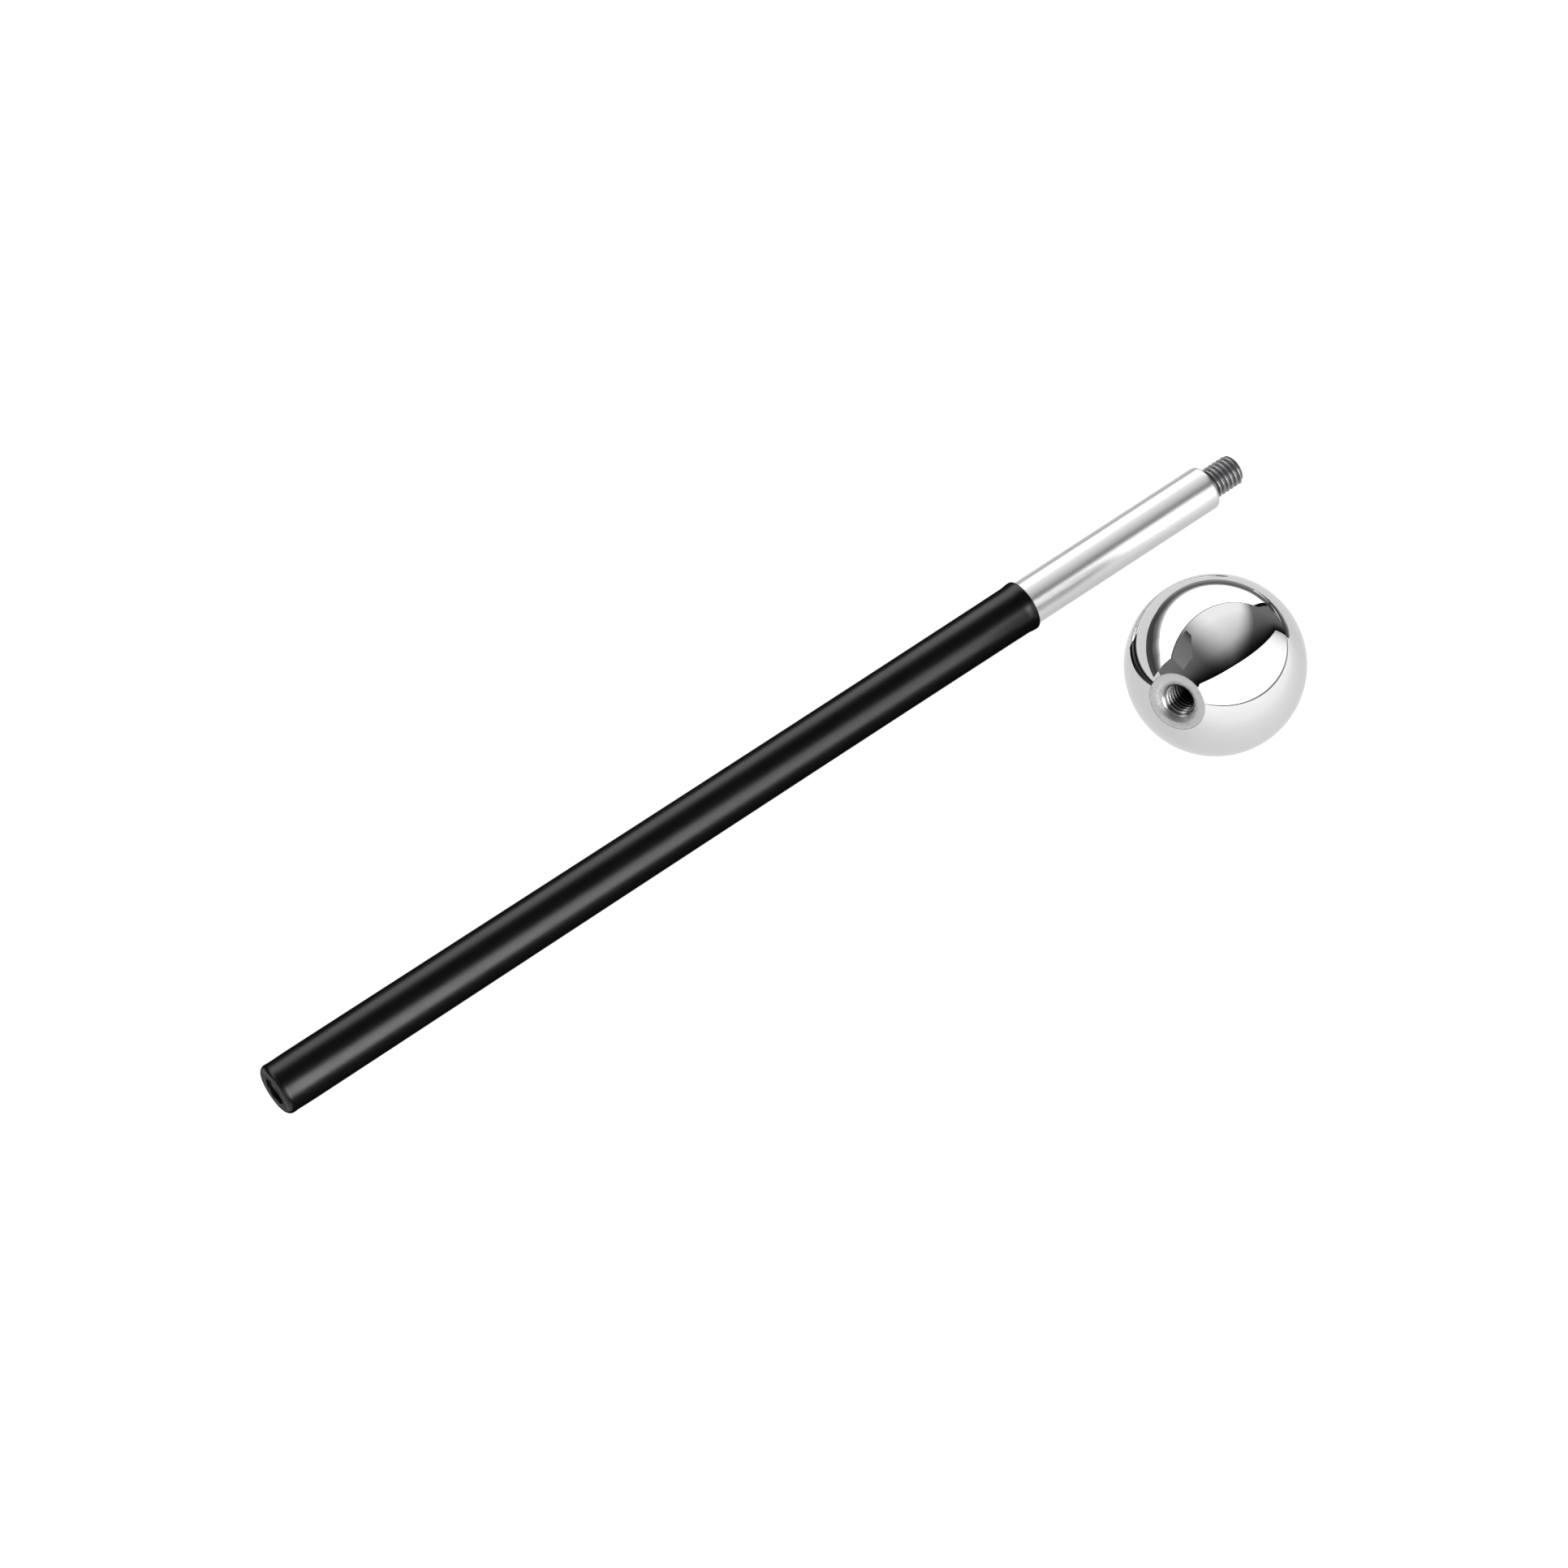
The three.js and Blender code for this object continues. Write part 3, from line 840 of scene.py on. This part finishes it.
def fade_strength(finish, value, from_min, from_max, to_min, to_max):
    """Makes a shining finish brighter or dimmer as a value grows."""
    tree = finish.node_tree
    eased = add(tree, "ShaderNodeMapRange", {
        "Value": value, "From Min": from_min, "From Max": from_max, "To Min": to_min, "To Max": to_max,
    }, interpolation_type="SMOOTHSTEP")
    tree.links.new(eased.outputs[0], tree.nodes["Principled BSDF"].inputs["Emission Strength"])


def room_place(tree):
    """A card's own place in the room, in metres, as X, Y and Z."""
    found = add(tree, "ShaderNodeTexCoord")
    return add(tree, "ShaderNodeSeparateXYZ", (found.outputs["Object"],)).outputs


def rise_share(tree):
    """0 at a card's foot and 1 at its top."""
    rise = add(tree, "ShaderNodeUVMap", uv_map="rise")
    return add(tree, "ShaderNodeSeparateXYZ", (rise,)).outputs["Y"]


def across_share(tree):
    """0 beside the near softbox and 1 beside the far one."""
    return add(tree, MATH, (room_place(tree)["Y"], 0.5, 0.5), operation="MULTIPLY_ADD")


def length_share(tree):
    """0 where the room starts, beyond the butt, and 1 at its far end."""
    length = ROOM_END - ROOM_START
    place = room_place(tree)["X"]
    return add(tree, MATH, (place, 1 / length, -ROOM_START / length), operation="MULTIPLY_ADD")


print("middle of the model:", round(-ROOM_START / (ROOM_END - ROOM_START), 3), "of the room's length")


# %% [markdown]
# ## The backlit table
#
# A sheet of opal acrylic lit from below is the plain pale floor. Only the camera and the soft light see
# it: reflections look past it to a lower floor, whose shade can then be chosen to set the ball's rim off
# from the white.

# %% The backlit table
TABLE_HALF = 4.0
TABLE_TOP = -0.0001

opal = start_finish(
    "backlit opal acrylic", Base_Color=colour("#6a6a6a"), Roughness=0.6,
    Emission_Color=colour("#ffffff"), Emission_Strength=0.92)[0]
table = level_card("table", TABLE_TOP, [
    (-TABLE_HALF, -TABLE_HALF, TABLE_HALF),
    (TABLE_HALF, -TABLE_HALF, TABLE_HALF),
], opal)
table.visible_camera = True
table.visible_glossy = False
print("table:", 2 * TABLE_HALF, "m wide")

# %% [markdown]
# ## Ceiling, end walls and a flag
#
# The ceiling and the end walls share one graded cloth, dark beside the near softbox and white over the
# far one. It also falls off towards the far end and towards the butt, which rounds off the two ends of
# the leaf shape on the ball. A grey flag hangs under it near the butt.

# %% The ceiling and the end walls share one graded cloth
END_SLANT = -1.2  # the fall-off at the far end starts nearer on the near side, by this much a metre
BUTT_SLOPE, BUTT_LEVEL = -1.04, 1.085  # the fall-off towards the butt, on the same scale as the other

cloth = fading_glow("graded grey cloth", 1.1, across_share, (
    (0.05, "#2a2a2a"), (0.155, "#555555"), (0.26, "#8a8a8a"),
    (0.38, "#c2c2c2"), (0.5, "#dcdcdc"), (0.8, "#ffffff"),
))
cloth_tree = cloth.node_tree
cloth_place = room_place(cloth_tree)
to_the_end = add(cloth_tree, MATH, (cloth_place["Y"], END_SLANT, cloth_place["X"]), operation="MULTIPLY_ADD")
to_the_butt = add(cloth_tree, MATH, (cloth_place["X"], BUTT_SLOPE, BUTT_LEVEL), operation="MULTIPLY_ADD")
to_an_end = add(cloth_tree, MATH, (to_the_end, to_the_butt), operation="MAXIMUM")
fade_strength(cloth, to_an_end, from_min=0.65, from_max=1.85, to_min=1.2, to_max=0.2)

level_card("ceiling", CEILING, [(ROOM_START, NEAR_SIDE, FAR_SIDE), (ROOM_END, NEAR_SIDE, FAR_SIDE)], cloth)
for name, wall in (("end_wall_right", ROOM_END), ("end_wall_left", ROOM_START)):
    end_card(name, wall, [(NEAR_SIDE, FLOOR, CEILING), (FAR_SIDE, FLOOR, CEILING)], cloth)

grey_flag = fading_glow("grey flag", 1.0, length_share, (
    (0.05, "#8c8c8c"), (0.16, "#7c7c7c"), (0.192, "#484848"),
))
level_card("flag", CEILING - HUNG, [(-1.8, 0.1, 0.95), (-0.85, 0.1, 0.95), (-0.37, 0.62, 0.95)], grey_flag)
print("cloth nodes:", len(cloth_tree.nodes))

# %% [markdown]
# ## The lower floor
#
# A polished ball shows the floor all round its rim, so the floor's shade is what draws the ball's outline
# on a white table. It is a light grey, brighter towards the near softbox, and is turned up at its edges
# in pale aprons, so that no gap shows between the floor and the walls.

# %% The lower floor and its aprons
APRON_AWAY = 1.01
APRON_TOP = 0.3
BUTT_SIDE = -0.31  # the floor is two cards, so that only the one beyond the butt lights the sleeve

pale_floor = fading_glow("pale lower floor", 1.3, across_share, (
    (0.0, "#ececec"), (0.3, "#dcdcdc"), (0.5, "#cfcfcf"), (1.0, "#d6d6d6"),
))
pale_apron = fading_glow("pale near apron", 1.3, rise_share, ((0.0, "#ececec"), (0.8, "#ffffff")))
for name, start, end in (("lower_floor_butt", ROOM_START, BUTT_SIDE), ("lower_floor", BUTT_SIDE, ROOM_END)):
    level_card(name, FLOOR, [(start, NEAR_SIDE, FAR_SIDE), (end, NEAR_SIDE, FAR_SIDE)], pale_floor)
side_card("near_apron", -APRON_AWAY, [(ROOM_START, FLOOR, APRON_TOP), (ROOM_END, FLOOR, 0.0)], pale_apron)
side_card("far_apron", APRON_AWAY, [(ROOM_START, FLOOR, APRON_TOP), (ROOM_END, FLOOR, APRON_TOP)], pale_floor)
end_card("left_apron", ROOM_START + HUNG, [(-BOX_AWAY, FLOOR, 0.2), (BOX_AWAY, FLOOR, 0.2)], pale_floor)
print("floor:", round(TABLE_TOP - FLOOR, 2), "m under the table")

# %% [markdown]
# ## Two softboxes
#
# The near softbox is the main light. It is brightest beside the stick, and its lower edge sinks towards
# the far end, which gives the long white shape on the ball its slant. The far one is shorter and dimmer,
# and gives the bar its upper white line. Thin grey and black cards stand for the frames of the boxes.

# %% Two softboxes and their frames
BOX_START = ROOM_START + 0.1
NEAR_END = ROOM_END - 0.2
FAR_END = 3.2
FRAME_END = 3.9
FAR_TOP = 1.13
FRAME_AWAY = BOX_AWAY - 0.01  # the frames stand just in front of the boxes, and the wall just behind
END_FRAME_AWAY = BOX_AWAY - 0.02
WALL_AWAY = BOX_AWAY + 0.005

near_light = fading_glow("near softbox face", 8.0, length_share, (
    (0.18, "#808080"), (0.22, "#ffffff"), (0.25, "#ffffff"),
    (0.28, "#c0c0c0"), (0.32, "#808080"), (0.97, "#4a4a4a"),
))
far_light = glow("far softbox face", "#ffffff", 2.4)
box_frame = glow("grey box frame", "#9c9c9c")
black_frame = glow("black box frame", "#101010")
dim_gap = glow("dim gap", "#505050")

side_card("softbox_near", -BOX_AWAY, [
    (BOX_START, 0.26, CEILING - HUNG), (NEAR_END, -0.48, CEILING - HUNG),
], near_light)
side_card("softbox_far", BOX_AWAY, [(BOX_START, 0.0, FAR_TOP), (FAR_END, 0.0, FAR_TOP)], far_light)
side_card("softbox_near_foot", -FRAME_AWAY, [(BOX_START, 0.256, 0.266), (NEAR_END, -0.55, -0.40)], box_frame)
side_card("softbox_far_end", END_FRAME_AWAY, [
    (FAR_END, 0.0, FAR_TOP), (FRAME_END, 0.0, FAR_TOP),
], black_frame)
side_card("softbox_far_top", FRAME_AWAY, [
    (BOX_START, FAR_TOP, 1.165), (FRAME_END, FAR_TOP, 1.165),
], dim_gap)
side_card("far_wall", WALL_AWAY, [(ROOM_START, 0.0, CEILING), (ROOM_END, 0.0, CEILING)], cloth)
print("near softbox", round(NEAR_END - BOX_START, 2), "m, far softbox", round(FAR_END - BOX_START, 2), "m")

# %% [markdown]
# ## The dark skirt
#
# A dark cloth hangs under the far softbox and bends down towards the far end. It draws the dark bands
# that make the ball look like polished metal instead of white porcelain. A dark patch on the floor closes
# it off beyond the far end; its edge is set out by azimuth round the ball.

# %% The skirt under the far softbox
SKIRT_AWAY = 0.985
SKIRT_OUTLINE = (
    (-1.85, -0.19, 0.45),
    (-1.1, -0.12, 0.47),
    (-0.49, -0.08, 0.36),
    (0.1, -0.10, 0.20),
    (0.68, -0.143, 0.11),
    (1.86, -0.264, 0.12),
    (FAR_END, FLOOR, 0.14),
)
FOOT_OUTLINE = ((0.1, -0.12, -0.10), (0.68, -0.27, -0.143), (1.86, FLOOR, -0.264))

dark_skirt = fading_glow("dark skirt", 1.2, rise_share, (
    (0.0, "#4d4d4d"), (0.45, "#404040"), (0.75, "#7c7c7c"), (0.92, "#c8c8c8"), (1.0, "#ffffff"),
))
along_skirt = room_place(dark_skirt.node_tree)["X"]
fade_strength(dark_skirt, along_skirt, from_min=-0.1, from_max=0.45, to_min=1.2, to_max=2.6)
side_card("skirt", SKIRT_AWAY, SKIRT_OUTLINE, dark_skirt)
side_card("skirt_end", SKIRT_AWAY - 0.001, [
    (FAR_END, FLOOR, 0.02), (ROOM_END, FLOOR, 0.02),
], glow("dark end cloth", "#4a4a4a"))
side_card("skirt_foot", SKIRT_AWAY, FOOT_OUTLINE, glow("mid grey floor", "#999999"))
print("skirt corners:", len(SKIRT_OUTLINE))

# %% The dark floor at the room's far end
ABOVE_FLOOR = 0.005
DARK_FLOOR_OUTLINE = ((31, 1.95, 1.98), (17, 1.87, 3.4), (0, 1.95, 5.9), (-7, 2.4, 5.9), (-10, 3.3, 5.9))


def on_floor(azimuth, away):
    """A point just above the lower floor, at an azimuth from +X and a distance from under the ball."""
    turn = math.radians(azimuth)
    x = ball_middle.x + away * math.cos(turn)
    y = ball_middle.y + away * math.sin(turn)
    return (x, y, FLOOR + ABOVE_FLOOR)


dark_floor = fading_glow("dark end floor", 1.0, rise_share, (
    (0.0, "#999999"), (0.3, "#535353"), (1.0, "#484848"),
))
place_card(
    "dark_floor",
    [on_floor(azimuth, near) for azimuth, near, far in DARK_FLOOR_OUTLINE],
    [on_floor(azimuth, far) for azimuth, near, far in DARK_FLOOR_OUTLINE],
    dark_floor,
)
print("dark floor starts", DARK_FLOOR_OUTLINE[1][1], "m from the ball")

# %% [markdown]
# ## Keep the black sleeve black
#
# In a studio, small black flags keep stray light off a dark part. Light linking does the same: these
# cards light everything but the sleeve. Then the sleeve shows little but the softboxes, as long
# highlights on deep black.

# %% Light linking keeps the ceiling's and floor's light off the sleeve
def keep_light_off(piece, cards):
    """These cards neither light this piece nor show in it."""
    shaded = bpy.data.collections.new("shaded")
    shaded.objects.link(bpy.data.objects[piece])
    for child in shaded.collection_objects:
        child.light_linking.link_state = "EXCLUDE"
    for card in cards:
        bpy.data.objects[card].light_linking.receiver_collection = shaded


DARK_TO_SLEEVE = ("ceiling", "lower_floor", "near_apron", "far_apron", "skirt", "skirt_foot")
keep_light_off("shrunk_sleeve", DARK_TO_SLEEVE)
print("cards kept off the sleeve:", len(DARK_TO_SLEEVE))

# %% [markdown]
# ## The world
#
# The world only fills in where the room is open. It is plain white, and the Standard view transform shows
# the white table as white.

# %% A plain white world
world = bpy.data.worlds.new("pale room")
bpy.context.scene.world = world
world.use_nodes = True
world.node_tree.nodes["Background"].inputs["Color"].default_value = colour("#ffffff")
world.node_tree.nodes["Background"].inputs["Strength"].default_value = 1.0
bpy.context.scene.view_settings.view_transform = "Standard"
print("view transform:", bpy.context.scene.view_settings.view_transform)

# %% [markdown]
# ## The camera
#
# A long lens from well above, looking along the stick from near its butt. A long lens keeps the bar's
# sides nearly parallel.

# %% Camera
CAMERA_AZIMUTH = math.radians(-37.33)
CAMERA_ELEVATION = math.radians(58.61)
CAMERA_DISTANCE = 1.542
LOOK_AT = Vector((0.0007, 0.02665, 0.0065))
FOCAL_LENGTH = 149.0
SENSOR_WIDTH = 36.0

lens = bpy.data.cameras.new("camera")
lens.lens = FOCAL_LENGTH
lens.sensor_width = SENSOR_WIDTH
camera = bpy.data.objects.new("camera", lens)
bpy.context.scene.collection.objects.link(camera)
back = Vector((
    math.sin(CAMERA_AZIMUTH) * math.cos(CAMERA_ELEVATION),
    -math.cos(CAMERA_AZIMUTH) * math.cos(CAMERA_ELEVATION),
    math.sin(CAMERA_ELEVATION),
))
camera.location = LOOK_AT + back * CAMERA_DISTANCE
camera.rotation_mode = "QUATERNION"
camera.rotation_quaternion = (-back).to_track_quat("-Z", "Y")
bpy.context.scene.camera = camera
print("camera at", tuple(round(value, 3) for value in camera.location))
